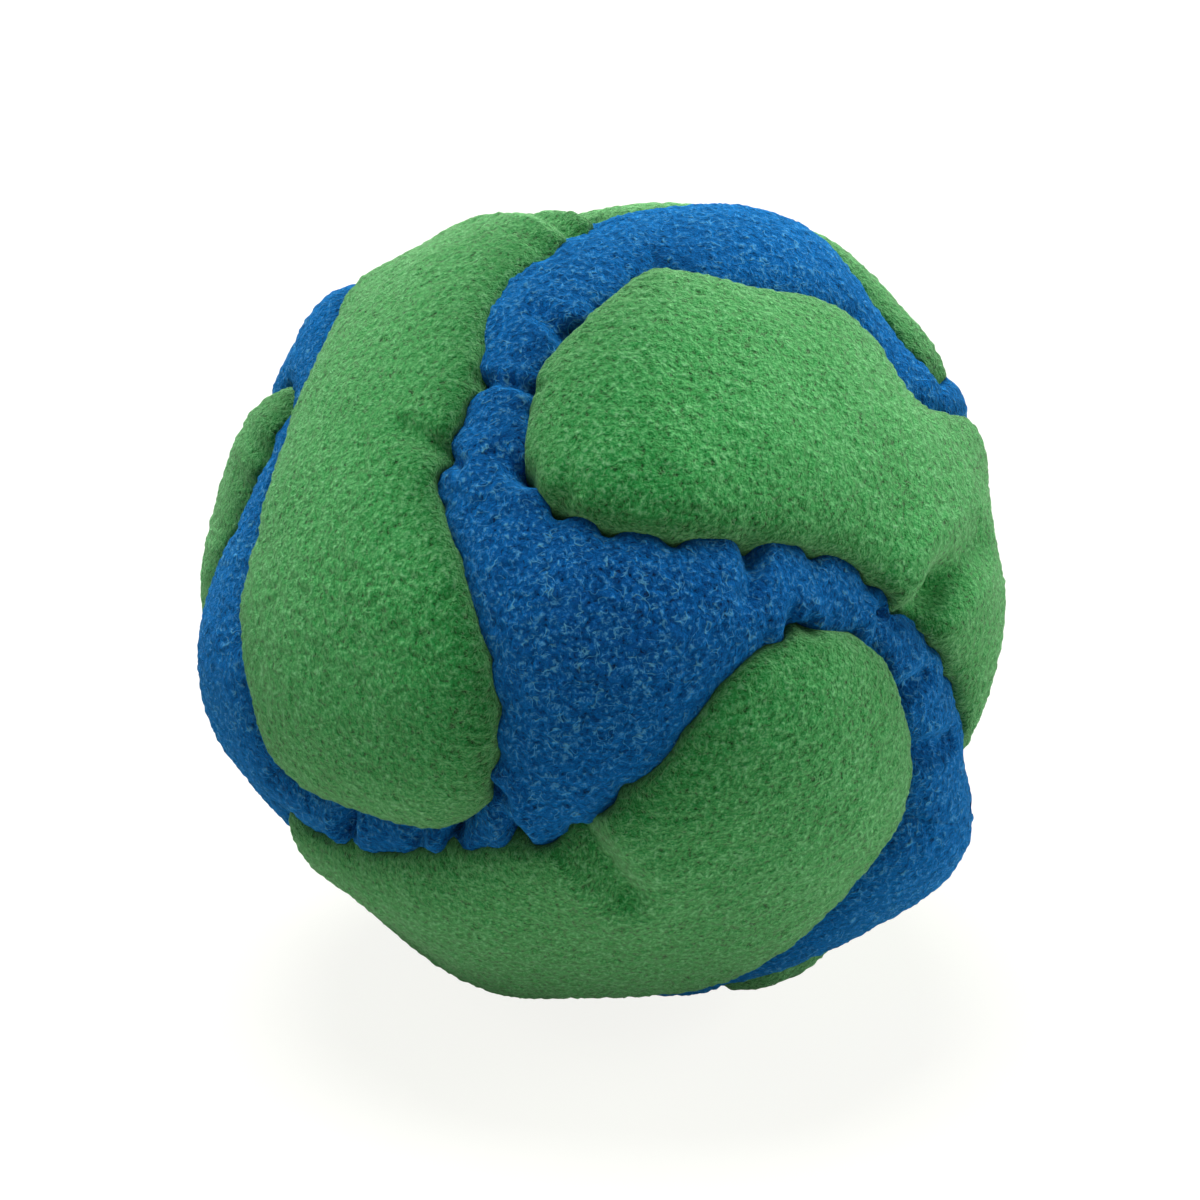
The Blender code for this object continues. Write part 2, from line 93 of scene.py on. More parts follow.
def pattern_turn():
    """The pattern's axes as the resting ball has them: one pinwheel down, one in front."""
    up = -unit(np.array(PINWHEELS["bottom"], float))
    front = unit(np.array(PINWHEELS["front"], float))
    back = -unit(front - front.dot(up) * up)
    return np.array([np.cross(back, up), back, up])


TURN = pattern_turn()
print("front pinwheel faces", (TURN @ unit(np.array(PINWHEELS["front"], float))).round(2))

# %% Directions as the photograph sees them
VIEW_DOWN = math.radians(24)
RIGHT = np.array([1.0, 0.0, 0.0])
TOWARDS = np.array([0.0, -math.cos(VIEW_DOWN), math.sin(VIEW_DOWN)])
UPWARD = np.cross(TOWARDS, RIGHT)


def view_directions(clock, outward):
    """A place in the view by clock angle and angle out, with the ways out and round."""
    clock, outward = math.radians(clock), math.radians(outward)
    side = math.cos(clock) * RIGHT + math.sin(clock) * UPWARD
    place = math.cos(outward) * TOWARDS + math.sin(outward) * side
    out = -math.sin(outward) * TOWARDS + math.cos(outward) * side
    around = -math.sin(clock) * RIGHT + math.cos(clock) * UPWARD
    return place, out, around


def seen_at(right, up):
    """The direction on the ball seen at a place in the photograph, in mm."""
    across, upwards = right / CORNER_RADIUS, up / CORNER_RADIUS
    depth = math.sqrt(max(0.0, 1 - across ** 2 - upwards ** 2))
    return across * RIGHT + upwards * UPWARD + depth * TOWARDS


def angles_from(directions, place):
    return np.degrees(np.arccos(np.clip(directions @ place, -1, 1)))


print("the camera looks down by", round(math.degrees(VIEW_DOWN)), "degrees")

# %% The round, with its bulges and hollows
AXIS_FOURTH = 1
CORNER_FOURTH = 1 / 3
BULGE_RISE = 2.4
# Each bulge's clock angle, angle out and reach in degrees, and its share of the rise
BULGE_SHARES = (
    (62, 76, 16, 0.85),
    (31, 82, 11, 0.65),
    (8, 86, 14, -0.65),
    (-19, 86, 12, -1.1),
    (-36, 78, 14, 1.15),
    (-67, 84, 18, 0.6),
    (-92, 86, 9, -0.15),
    (-125, 84, 13, -0.65),
    (-150, 84, 9, -0.05),
    (-168, 78, 16, 0.6),
    (166, 84, 8, -0.2),
    (152, 84, 9, 0.2),
    (133, 88, 9, 0.6),
    (118, 82, 12, -0.2),
    (94, 84, 11, -0.45),
)


def round_radius(directions):
    """The ball's radius without seams, least on the pattern's axes and most at corners."""
    fourth = np.sum((directions @ TURN) ** 4, axis=-1)
    corner_share = (AXIS_FOURTH - fourth) / (AXIS_FOURTH - CORNER_FOURTH)
    radius = WAIST_RADIUS + (CORNER_RADIUS - WAIST_RADIUS) * corner_share
    for clock, outward, reach, rise_share in BULGE_SHARES:
        away = angles_from(directions, view_directions(clock, outward)[0])
        radius = radius + BULGE_RISE * rise_share * np.exp(-((away / reach) ** 2))
    return radius


def seam_radius(directions):
    return round_radius(directions) - SEAM_DEPTH


DOWN = np.array([[0.0, 0.0, -1.0]])
CENTRE = np.array([0, 0, seam_radius(DOWN)[0] + BOTTOM_SWELL - FLAT_DEPTH])
print("middle of the ball is", round(float(CENTRE[2]), 2), "mm up")

# %% [markdown]
# ## The seams
# Each green piece is cut like a dog bone, and each blue one like a pinwheel with three
# arms that wrap between the bones. A seam could be drawn as a curve on the ball, but the
# two cloths have to meet along it exactly, so every seam is worked out once, as a row of
# directions from the middle, and both of its panels use that row.

# %% Half of a bone's outline, in degrees along and across it from its middle
BONE_OUTLINE_ANGLES = (
    (58, 0), (57, 9), (51, 17.5), (42, 20.5), (30, 21), (20, 20.5), (11, 20),
    (0, 23.5), (-12, 25.5), (-25, 28.5), (-35, 31.5), (-44, 26.5), (-51, 18.5), (-57, 9),
)
print("points of half a bone:", len(BONE_OUTLINE_ANGLES))

# %% Where the sewing has pulled the outlines out of shape
# The bone, the place by clock and angle out, how far out and how far anticlockwise the
# outline goes there, and how wide the pull is, all in degrees
PULL_ANGLES = (
    ("front_left", -118, 26, 0.8, -3.4, 15),
    ("front_left", -126, 45, -1.5, 0, 12),
    ("front_left", -122, 39, 1, 2, 10),
    ("front_left", -172, 19, 1.1, 0, 10),
    ("front_left", 179, 66, 3, 0, 10),
    ("front_left", 164, 64, -2.5, 0, 9),
    ("front_left", 146, 31, 2, 1.2, 12),
    ("front_left", 107, 54, 0.6, 2.4, 13),
    ("front_left", 168, 70, -5.5, 0, 28),
    ("front_left", 138, 76, -2, 0, 10),
    ("front_left", 134, 90, -16, -4, 20),
    ("front_left", 99, 76, 0, -6, 13),
    ("front_left", 119, 42, 0, -1.1, 8),
    ("front_left", -142, 57, -2, -0.6, 9),
    ("front_low", -146, 75, -2.5, -1.5, 8),
    ("front_low", -137, 70, 5, -5, 13),
    ("front_low", -126, 54, -2.8, 0, 15),
    ("front_low", -75, 25, 1.3, 0.8, 10),
    ("front_low", -60, 74, 1.4, 0, 10),
    ("front_low", -5, 36, 1, 3.5, 14),
    ("front_low", -45, 23, 0.9, 0, 14),
    ("front_low", -42, 66, -3.5, 0, 17),
    ("front_low", -38, 66, -3, 0, 9),
    ("front_low", -8, 28, 0, -1.4, 7),
    ("front_right", 102, 48, -3.5, -3.5, 16),
    ("front_right", 86, 54, -4.5, 0, 7),
    ("front_right", 46, 14, -2.5, -1, 14),
    ("front_right", -6, 58, 2, 3.5, 12),
    ("front_right", -3, 49, 1.5, 1, 9),
    ("front_right", -19, 67, 3, 1, 9),
    ("front_right", 70, 59, -5, 0, 13),
    ("front_right", 40, 68, 3.5, 0, 9),
    ("front_right", 34, 78, -10, 0, 13),
    ("front_right", 125, 19, 0.6, 1.8, 9),
    ("front_right", 113, 29, 0, -1.2, 7),
    ("front_right", 27, 20, 0.7, 1.3, 12),
    ("front_right", 5, 40, 3.3, 2.1, 9),
    ("front_right", 86, 50, -2, 0, 8),
    ("front_right", -3, 48, 0, -1.3, 7),
    ("top", 74, 75, 19, 0, 20),
    ("top", 44, 74, 3, -5, 18),
    ("top", 40, 88, -11, -4, 18),
    ("top", 48, 90, 0, -3, 8),
    ("top", 33, 94, 2, -4, 14),
    ("right", -46, 75, 19, 0, 20),
    ("right", -76, 74, 3, -5, 18),
    ("right", -70, 94, -8, 4, 18),
    ("left", -166, 75, 19, 0, 20),
    ("left", 164, 74, 3, -5, 18),
    ("left", 154, 90, -15, -19, 22),
    ("left", 168, 86, -3, 4, 13),
    ("left", 160, 72, 0, 2.5, 8),
    ("left", 150, 86, 4.5, -12.5, 11),
)
print("pulls:", len(PULL_ANGLES))

# %% The outline of a bone
POINTS_PER_SPAN = 16


def smooth_loop(points):
    """A closed smooth curve through the points."""
    before, after = np.roll(points, 1, axis=0), np.roll(points, -1, axis=0)
    second = np.roll(points, -2, axis=0)
    spans = []
    for step in np.arange(POINTS_PER_SPAN) / POINTS_PER_SPAN:
        spans.append(0.5 * (
            2 * points
            + (after - before) * step
            + (2 * before - 5 * points + 4 * after - second) * step ** 2
            + (3 * points - before - 3 * after + second) * step ** 3
        ))
    return np.stack(spans, axis=1).reshape(-1, 2)


def bone_outline(name):
    """Directions round a bone: its outline on the ball, turned and then pulled."""
    half = np.array(BONE_OUTLINE_ANGLES, float)
    flat = np.radians(smooth_loop(np.concatenate([half, -half])))
    away = np.linalg.norm(flat, axis=1)
    middle, along = (np.array(axis, float) for axis in BONES[name])
    across = np.cross(middle, along)
    sides = flat[:, :1] * along + flat[:, 1:] * across
    outline = np.cos(away)[:, None] * middle + (np.sin(away) / away)[:, None] * sides
    outline = outline @ TURN.T
    moved = outline.copy()
    for bone, clock, outward, out_angle, round_angle, reach in PULL_ANGLES:
        if bone == name:
            place, out, around = view_directions(clock, outward)
            fall = np.exp(-((angles_from(outline, place) / reach) ** 2))
            pull = math.radians(out_angle) * out + math.radians(round_angle) * around
            moved += fall[:, None] * pull
    return unit(moved)


print("points round a bone:", len(bone_outline("top")))

# %% Lay out every seam once
SEAM_STEP = 0.85
MEETING_STEPS = 12


def evenly(line, step):
    """The open line again, its ends kept and its points one step apart."""
    runs = np.linalg.norm(np.diff(line, axis=0), axis=1)
    along = np.concatenate([[0], np.cumsum(runs)])
    count = max(2, round(along[-1] / step) + 1)
    places = np.linspace(0, along[-1], count)
    return unit(np.stack([np.interp(places, along, line[:, k]) for k in range(3)], axis=1))


def lay_out_seams():
    """Two halves of each bone's outline, and the middle of each place where arms meet."""
    step = SEAM_STEP / CORNER_RADIUS
    middles = {name: unit(TURN @ np.array(c, float)) for name, c in PINWHEELS.items()}
    outlines = {bone: bone_outline(bone) for bone in BONES}
    ends, centres = {}, {}
    for name, corner in JUNCTIONS.items():
        around = [bone for bone in BONES if np.dot(BONES[bone][0], corner) > 0]
        centre = unit(TURN @ np.array(corner, float))
        for _ in range(MEETING_STEPS):
            nearest = {bone: int(np.argmax(outlines[bone] @ centre)) for bone in around}
            centre = unit(sum(outlines[bone][nearest[bone]] for bone in around))
        centres[name] = centre
        for bone in around:
            ends.setdefault(bone, []).append((name, nearest[bone]))
    halves = {}
    for bone, pair in ends.items():
        for (first, start), (second, stop) in (pair, pair[::-1]):
            count = len(outlines[bone])
            turn = np.arange(start, stop + 1 + (count if stop < start else 0)) % count
            half = evenly(outlines[bone][turn], step)
            inner = half[len(half) // 2]
            pinwheel = max(middles, key=lambda name: middles[name].dot(inner))
            halves[bone, pinwheel] = (first, second, half)
    return halves, centres


HALVES, CENTRES = lay_out_seams()
print("seams:", len(HALVES), "long and", 3 * len(CENTRES), "short")

# %% The closed seam round each panel
STEEP_SHARE = 0.8


def bone_loop(bone):
    """Round one bone, seam after seam."""
    pieces = [entry for (name, _), entry in HALVES.items() if name == bone]
    return np.concatenate([half[:-1] for _, _, half in pieces])


def pinwheel_loop(pinwheel):
    """Along a bone, in to where the arms meet, out to the next bone, and so on."""
    step = SEAM_STEP / CORNER_RADIUS
    own = {entry[1]: entry for (_, name), entry in HALVES.items() if name == pinwheel}
    corner, loop = next(iter(own)), []
    for _ in own:
        start, _, half = own[corner]
        loop.append(half[::-1][:-1])
        following = own[start][2][-1]
        loop.append(evenly(np.array([half[0], CENTRES[start]]), step)[:-1])
        loop.append(evenly(np.array([CENTRES[start], following]), step)[:-1])
        corner = start
    return np.concatenate(loop)


def panel_axes(middle):
    """Two axes square to a panel's middle direction and to each other."""
    guide = np.array([0.0, 0.0, 1.0])
    if abs(middle[2]) >= STEEP_SHARE:
        guide = np.array([0.0, 1.0, 0.0])
    along = unit(np.cross(guide, middle))
    return along, np.cross(middle, along)


print("seam points round the front pinwheel:", len(pinwheel_loop("front")))

# %% [markdown]
# ## From a seam to a mesh of cloth
# Cloth needs small, even triangles, or it bends in straight lines. Each panel is laid
# out flat round its middle, filled with a honeycomb of points, joined up, and then every
# triangle is cut into four, twice. A remesh modifier would do it too, but it would lose
# the exact line of the seam.

# %% Lay a panel out flat, and back
SAME_POINT_SHARE = 1e-7


def flatten_chart(directions, middle):
    """Directions as flat points: their angle from the middle, the way that they lie."""
    along, across = panel_axes(middle)
    away = np.arccos(np.clip(directions @ middle, -1, 1))
    side = np.stack([directions @ along, directions @ across], axis=1)
    length = np.maximum(np.linalg.norm(side, axis=1), SAME_POINT_SHARE)
    return side * (away / length)[:, None]


def unflatten_chart(flat, middle):
    """Flat points as directions again."""
    along, across = panel_axes(middle)
    away = np.linalg.norm(flat, axis=1)
    side = flat[:, :1] * along + flat[:, 1:] * across
    return unit(np.cos(away)[:, None] * middle + np.sinc(away / math.pi)[:, None] * side)


def inside(flat, loop):
    """Which flat points lie within a flat loop."""
    x, y = flat[:, :1], flat[:, 1:]
    x1, y1 = loop[:, 0], loop[:, 1]
    x2, y2 = np.roll(x1, -1), np.roll(y1, -1)
    crosses = (y1 > y) != (y2 > y)
    rise = np.where(y2 == y1, 1, y2 - y1)
    return np.sum(crosses & (x < x1 + (y - y1) * (x2 - x1) / rise), axis=1) % 2 == 1


flat_seam = flatten_chart(bone_loop("top"), TURN @ np.array(BONES["top"][0], float))
print("the top bone laid flat:", (np.ptp(flat_seam, axis=0) * CORNER_RADIUS).round(1), "mm")

# %% Fill a seam loop with triangles
FACE_STEP = 0.95
CLEAR_SHARE = 0.6
CUTS = 2


def fill_loop(loop, middle):
    """Directions and triangles that fill a loop. The loop's points come first."""
    rim = flatten_chart(loop, middle)
    spacing = FACE_STEP / CORNER_RADIUS
    low, high = rim.min(axis=0), rim.max(axis=0)
    grid = []
    for row, y in enumerate(np.arange(low[1], high[1], spacing * math.sqrt(3) / 2)):
        xs = np.arange(low[0] + spacing / 2 * (row % 2), high[0], spacing)
        grid.append(np.stack([xs, np.full(len(xs), y)], axis=1))
    grid = np.concatenate(grid)
    grid = grid[inside(grid, rim)]
    clear = np.min(np.linalg.norm(grid[:, None] - rim[None], axis=2), axis=1)
    grid = grid[clear > CLEAR_SHARE * spacing]
    corners = [Vector(p) for p in np.concatenate([rim, grid])]
    edges = [(k, (k + 1) % len(rim)) for k in range(len(rim))]
    made = delaunay_2d_cdt(corners, edges, [], 1, SAME_POINT_SHARE)
    triangles = np.array([tuple(face) for face in made[2]])
    return np.concatenate([loop, unflatten_chart(grid, middle)]), triangles


def cut_in_four(points, triangles, rim):
    """Every triangle cut at its edges' middles, and the rim's order kept."""
    edges = np.sort(triangles[:, [0, 1, 1, 2, 2, 0]].reshape(-1, 2), axis=1)
    code = edges[:, 0] * len(points) + edges[:, 1]
    codes, first, back = np.unique(code, return_index=True, return_inverse=True)
    halfway = points[edges[first]].mean(axis=1)
    ab, bc, ca = (back.reshape(-1, 3) + len(points)).T
    a, b, c = triangles.T
    quarters = [(a, ab, ca), (ab, b, bc), (ca, bc, c), (ab, bc, ca)]
    after = np.roll(rim, -1)
    rim_code = np.minimum(rim, after) * len(points) + np.maximum(rim, after)
    between = np.searchsorted(codes, rim_code) + len(points)
    new_rim = np.stack([rim, between], axis=1).reshape(-1)
    new_triangles = np.concatenate([np.stack(q, axis=1) for q in quarters])
    return np.concatenate([points, halfway]), new_triangles, new_rim


def cloth_grid(loop, middle):
    """The directions, triangles and rim of one panel, its triangles facing outwards."""
    points, triangles = fill_loop(loop, middle)
    rim = np.arange(len(loop))
    for _ in range(CUTS):
        points, triangles, rim = cut_in_four(points, triangles, rim)
    points = unit(points)
    a, b, c = points[triangles[0]]
    if np.cross(b - a, c - a) @ a < 0:
        triangles = triangles[:, ::-1]
    return points, triangles, rim


top_grid = cloth_grid(bone_loop("top"), TURN @ np.array(BONES["top"][0], float))
print("triangles in the top bone:", len(top_grid[1]))

# %% [markdown]
# ## Puffing the cloth up
# A stuffed panel rises steeply from its seam and then levels out, and a narrow arm rises
# less than a wide triangle. Blender's cloth solver with pressure can do that, but ten
# panels sewn to each other take long to settle, and their seams drift. An equation has
# the same kind of answer: a stretched skin on soft springs. Solving it on the mesh takes
# about a second, it gives the same answer every time, and it also spreads the pull of
# each stitch into the cloth.

# %% A stretched skin on soft springs
SOLVER_STEPS = 400
SOLVED_SHARE = 1e-5


def skin_weights(points, triangles):
    """How strongly each edge of the mesh pulls, and the area that each point stands for."""
    place = points * CORNER_RADIUS
    starts, stops, pulls = [], [], []
    for k in range(3):
        tip, one, two = triangles[:, k], triangles[:, (k + 1) % 3], triangles[:, (k + 2) % 3]
        u, v = place[one] - place[tip], place[two] - place[tip]
        area = np.linalg.norm(np.cross(u, v), axis=1)
        starts.append(one)
        stops.append(two)
        pulls.append(np.maximum(np.sum(u * v, axis=1) / area, 0) / 2)
    owner = triangles.reshape(-1)
    share = np.repeat(area / 6, 3)
    areas = np.bincount(owner, share, minlength=len(points))
    return np.concatenate(starts), np.concatenate(stops), np.concatenate(pulls), areas


def settle(weights, rim, rim_values, reach, load):
    """Heights of a skin held at its rim, that eases to the load over a reach in mm."""
    start, stop, pull, areas = weights
    count = len(areas)
    free = np.ones(count)
    free[rim] = 0

    def push(height):
        gap = pull * (height[start] - height[stop])
        bent = np.bincount(start, gap, count) - np.bincount(stop, gap, count)
        return free * (reach ** 2 * bent + areas * height)

    height = np.zeros(count)
    height[rim] = rim_values
    rest = free * areas * load - push(height)
    step = rest.copy()
    size = rest @ rest
    solved_size = size * SOLVED_SHARE ** 2
    for _ in range(SOLVER_STEPS):
        if size <= solved_size:
            break
        moved = push(step)
        share = size / (step @ moved)
        height += share * step
        rest -= share * moved
        new_size = rest @ rest
        step = rest + new_size / size * step
        size = new_size
    return height


def downhill(points, triangles, height):
    """The way that the height falls fastest at each point, in the skin."""
    place = points * CORNER_RADIUS
    a, b, c = (place[triangles[:, k]] for k in range(3))
    normal = np.cross(b - a, c - a)
    doubled = np.linalg.norm(normal, axis=1, keepdims=True)
    normal = normal / doubled
    rise = sum(
        height[triangles[:, k], None] * np.cross(normal, edge)
        for k, edge in enumerate((c - b, a - c, b - a))
    )
    total = np.zeros((len(points), 3))
    for axis in range(3):
        total[:, axis] = np.bincount(
            triangles.reshape(-1), np.repeat(rise[:, axis], 3), len(points))
    spread = np.bincount(triangles.reshape(-1), np.repeat(doubled[:, 0], 3), len(points))
    return -total / spread[:, None]


top_weights = skin_weights(top_grid[0], top_grid[1])
top_skin = settle(top_weights, top_grid[2], 0.0, 3.0, 1.0)
print("a skin of 3 mm reach rises to", round(float(top_skin.max()), 3), "over the top bone")

# %% [markdown]
# ## Stitches, gathers and folds
# The thread pulls both cloths in at every stitch, about every 3 mm. Between two stitches
# the slack blue cloth stands up as a small blob and pushes the green edge back, so the
# seam runs in scallops. They could be sculpted one by one, but that is slow and hard to
# change. Here a table holds the stitches that show in the photograph, the others get
# seeded random places and pulls, and each pulls a dent and a short crease into both
# cloths. The deep pleats and folds that the photograph shows have tables of their own.

# %% Every stitch: where it lies and how hard it pulls
STITCH_PITCH = 3.4
UNEVEN_SHARE = 0.18
STITCH_WIDTH = 0.8
PULL_RANGE = (0.3, 1.4)
STITCH_SEED = 7
# Stitches that show in the photograph: mm right and up of the ball's middle, and the pull
SEEN_STITCHES = (
    (-6.3, 8.0, 0.9),
    (-3.2, 5.1, 1.3),
    (0.0, 4.3, 1.3),
    (4.5, 3.3, 1.1),
    (9.0, 3.1, 1.6),
    (13.4, 2.7, 1.2),
    (17.0, 0.6, 0.6),
    (11.9, -1.2, 1.1),
    (13.1, -1.6, 0.9),
    (-10.4, 9.3, 1.0),
    (-17.4, -15.2, 1.4),
    (-12.6, -16.2, 0.8),
    (-10.4, -16.2, 1.4),
    (-6.1, -16.0, 1.3),
)
SEEN_CLEARANCE = 2.2
# Where an edge lies smooth: clock angle, angle out, reach, share of the pull not there
CALM_SHARES = (
    (-35, 54, 20, 0.85),
    (-132, 52, 16, 0.8),
    (70, 57, 18, 0.7),
    (-52, 22, 15, 0.7),
    (-175, 21, 17, 0.75),
    (112, 54, 11, 0.6),
)


def pull_share(directions):
    """How much of the stitches' pull there is at each place."""
    share = np.ones(len(directions))
    for clock, outward, reach, missing in CALM_SHARES:
        away = angles_from(directions, view_directions(clock, outward)[0])
        share *= 1 - missing * np.exp(-((away / reach) ** 2))
    return share


def short_seams():
    """The seams from each corner of a bone to the middle of the place where arms meet."""
    step = SEAM_STEP / CORNER_RADIUS
    return [evenly(np.array([half[0], CENTRES[first]]), step)
            for first, _, half in HALVES.values()]


def sew(random):
    """Where the stitches of the long seams lie and how hard each one pulls."""
    long = np.concatenate([half for _, _, half in HALVES.values()])
    seen = np.array([seen_at(right, up) for right, up, _ in SEEN_STITCHES])
    seen = long[np.argmax(seen @ long.T, axis=1)]
    places, pulls = [seen], [np.array([pull for _, _, pull in SEEN_STITCHES])]
    for _, _, line in HALVES.values():
        runs = np.linalg.norm(np.diff(line, axis=0), axis=1) * CORNER_RADIUS
        along = np.concatenate([[0], np.cumsum(runs)])
        count = max(1, round(along[-1] / STITCH_PITCH))
        at = np.arange(count) + 0.5 + random.normal(0, UNEVEN_SHARE, count)
        at = at * along[-1] / count
        row = unit(np.stack([np.interp(at, along, line[:, k]) for k in range(3)], axis=1))
        gaps = np.linalg.norm(row[:, None] - seen[None], axis=2).min(axis=1)
        kept = gaps * CORNER_RADIUS > SEEN_CLEARANCE
        places.append(row[kept])
        pulls.append((random.uniform(*PULL_RANGE, count) * pull_share(row))[kept])
    return np.concatenate(places), np.concatenate(pulls)


SHORT_SEAMS = short_seams()
STITCHES, PULLS = sew(np.random.default_rng(STITCH_SEED))
print("stitches:", len(STITCHES))


def stitch_pull(directions):
    """How hard the stitches pull at each place."""
    gaps = np.linalg.norm(directions[:, None] - STITCHES[None], axis=2) * CORNER_RADIUS
    return np.exp(-((gaps / STITCH_WIDTH) ** 2)) @ PULLS


# %% How deep the seams lie, in mm
SEAM_RISE = 0.3
SHORT_SEAM_RISE = 1.2
CORNER_FADE = 2.0
# Where a long seam lies shallow too: clock angle, angle out, reach, rise in mm
SHALLOW_SEAMS = (
    (102, 62, 12, 0.7),
    (115, 50, 9, 0.4),
)


def seam_rise(rim_points):
    """How high each rim point lies above the seam's depth, most where two arms meet."""
    long = np.concatenate([half for _, _, half in HALVES.values()])
    gaps = np.linalg.norm(rim_points[:, None] - long[None], axis=2).min(axis=1)
    short_share = np.clip((gaps * CORNER_RADIUS - SEAM_STEP) / CORNER_FADE, 0, 1)
    rise = np.full(len(rim_points), SEAM_RISE)
    for clock, outward, reach, more in SHALLOW_SEAMS:
        away = angles_from(rim_points, view_directions(clock, outward)[0])
        rise += more * np.exp(-((away / reach) ** 2))
    return rise + (SHORT_SEAM_RISE - rise) * short_share


print("the front pinwheel's seam rises by up to",
      round(float(seam_rise(pinwheel_loop("front")).max()), 2), "mm")

# %% How far the blue cloth pushes the seam sideways between two stitches
SCALLOP = 0.9
MEAN_PULL = 0.4


def side_into(loop):
    """The way into the panel, square to its seam."""
    return unit(np.cross(loop, np.roll(loop, -1, axis=0) - np.roll(loop, 1, axis=0)))


def scallops(rim_points):
    """How far each rim point moves towards the bone, fading out where arms meet."""
    short = np.concatenate(SHORT_SEAMS)
    gaps = np.linalg.norm(rim_points[:, None] - short[None], axis=2).min(axis=1)
    fade = np.clip(gaps * CORNER_RADIUS / CORNER_FADE, 0, 1)
    return SCALLOP * (MEAN_PULL * pull_share(rim_points) - stitch_pull(rim_points)) * fade


print("the top bone's seam moves aside by up to",
      round(float(np.abs(scallops(bone_loop("top"))).max()), 2), "mm")

# %% Pleats and folds seen in the photograph, in mm right and up of the ball's middle
# The deep end of each crease, its shallow end, its depth and its half width
ARM_PLEATS = (
    ((-2.9, 17.4), (-4.9, 18.6), 1.0, 0.8),
    ((-4.6, 13.7), (-8.6, 14.5), 1.1, 0.5),
    ((-5.6, 8.1), (-7.4, 9.4), 1.2, 0.9),
    ((9.3, 3.2), (8.6, 0.2), 1.1, 0.8),
    ((18.0, -0.9), (17.4, -3.8), 0.5, 0.7),
    ((19.0, -6.2), (20.6, -5.0), 1.8, 0.8),
    ((19.6, -10.0), (21.6, -9.0), 2.0, 0.9),
    ((-6.1, -15.8), (-7.7, -12.7), 1.7, 0.8),
    ((-10.5, -16.0), (-10.2, -14.0), 1.7, 0.8),
    ((-12.8, -16.0), (-12.6, -14.4), 0.9, 0.6),
    ((-17.3, -15.0), (-17.4, -12.8), 1.8, 0.9),
    ((-9.5, -14.6), (-18.5, -13.6), 0.9, 2.2),
    ((-19.2, -12.6), (-22.8, -6.0), 1.0, 1.3),
)
LOBE_FOLDS = (
    ((-1.9, 23.5), (-8.6, 24.6), 2.4, 1.0),
    ((-10.2, 9.6), (-13.4, 10.8), 1.2, 0.9),
    ((20.0, -1.4), (21.4, 1.4), 3.0, 1.6),
    ((21.4, 1.4), (23.6, 3.6), 2.0, 1.6),
    ((19.8, -0.8), (20.6, 1.2), 0.9, 0.6),
    ((-2.2, -14.8), (1.0, -18.6), 3.2, 1.5),
)
# Where the thread is drawn so tight that both cloths sink
TIGHT_PINCHES = (
    ((-2.0, 17.7), (-3.2, 17.4), 0.9, 0.7),
    ((-9.2, 14.7), (-8.2, 14.4), 0.7, 0.6),
    ((-4.0, 13.6), (-5.0, 13.8), 0.8, 0.6),
    ((-4.9, 7.9), (-5.8, 8.2), 1.3, 0.7),
    ((-9.9, 8.9), (-10.9, 9.6), 0.9, 0.6),
    ((9.3, 2.6), (9.2, 4.2), 0.9, 0.8),
    ((11.9, -2.1), (11.9, -0.8), 1.2, 0.6),
    ((13.1, -2.6), (13.1, -1.4), 1.0, 0.5),
    ((18.3, -0.9), (18.9, -1.7), 0.9, 0.6),
    ((-7.0, -12.9), (-7.8, -12.2), 1.3, 0.6),
    ((-5.9, -16.4), (-6.2, -15.2), 1.2, 0.6),
    ((-10.6, -16.4), (-10.4, -15.2), 1.2, 0.6),
    ((-17.2, -15.6), (-17.4, -14.4), 1.2, 0.7),
)
PLACED_TAPER_SHARE = 0.5


def placed_creases(rows):
    """Creases from a table: both ends as directions, depth, half width and taper."""
    return [(seen_at(*first), seen_at(*last), sink, width, PLACED_TAPER_SHARE)
            for first, last, sink, width in rows]


print("placed creases:", len(ARM_PLEATS) + len(LOBE_FOLDS) + len(TIGHT_PINCHES))

# %% The short crease that each stitch pulls into a panel
LONGEST_GATHER = 2.8
ARM_WIDTH = 10.0
ARM_GATHER_SHARE = 0.55
OPEN_GATHER = 1.6
UNEVEN_GATHER_SHARES = (0.6, 1.15)
AHEAD_SHARE = 0.75
DEEPEST_SHARE = 2
TAPER_SHARE = 0.7


def gathers(loop, sink, width, random):
    """A crease into the panel from each stitch on its seam, longer across an arm."""
    side = side_into(loop)
    creases = []
    for place, pull in zip(STITCHES, PULLS):
        step = (loop - place) * CORNER_RADIUS
        gap = np.linalg.norm(step, axis=1)
        nearest = int(np.argmin(gap))
        if gap[nearest] > SEAM_STEP:
            continue
        facing = (step @ side[nearest] > AHEAD_SHARE * gap) & (gap > SEAM_STEP)
        across = gap[facing].min() if facing.any() else math.inf
        reach = OPEN_GATHER
        if across < ARM_WIDTH:
            reach = min(ARM_GATHER_SHARE * across, LONGEST_GATHER)
        reach *= random.uniform(*UNEVEN_GATHER_SHARES)
        stop = unit(place + side[nearest] * reach / CORNER_RADIUS)
        deep = sink * pull * DEEPEST_SHARE * random.uniform() ** 2
        creases.append((place, stop, deep, width, TAPER_SHARE))
    return creases


print("longest gather:", LONGEST_GATHER * UNEVEN_GATHER_SHARES[1], "mm")

# %% How far creases sink the cloth
FELT_WIDTHS = 5
SIDE_LIFT_SHARE = 0.35
SIDE_LIFT_WIDTHS = 2.2


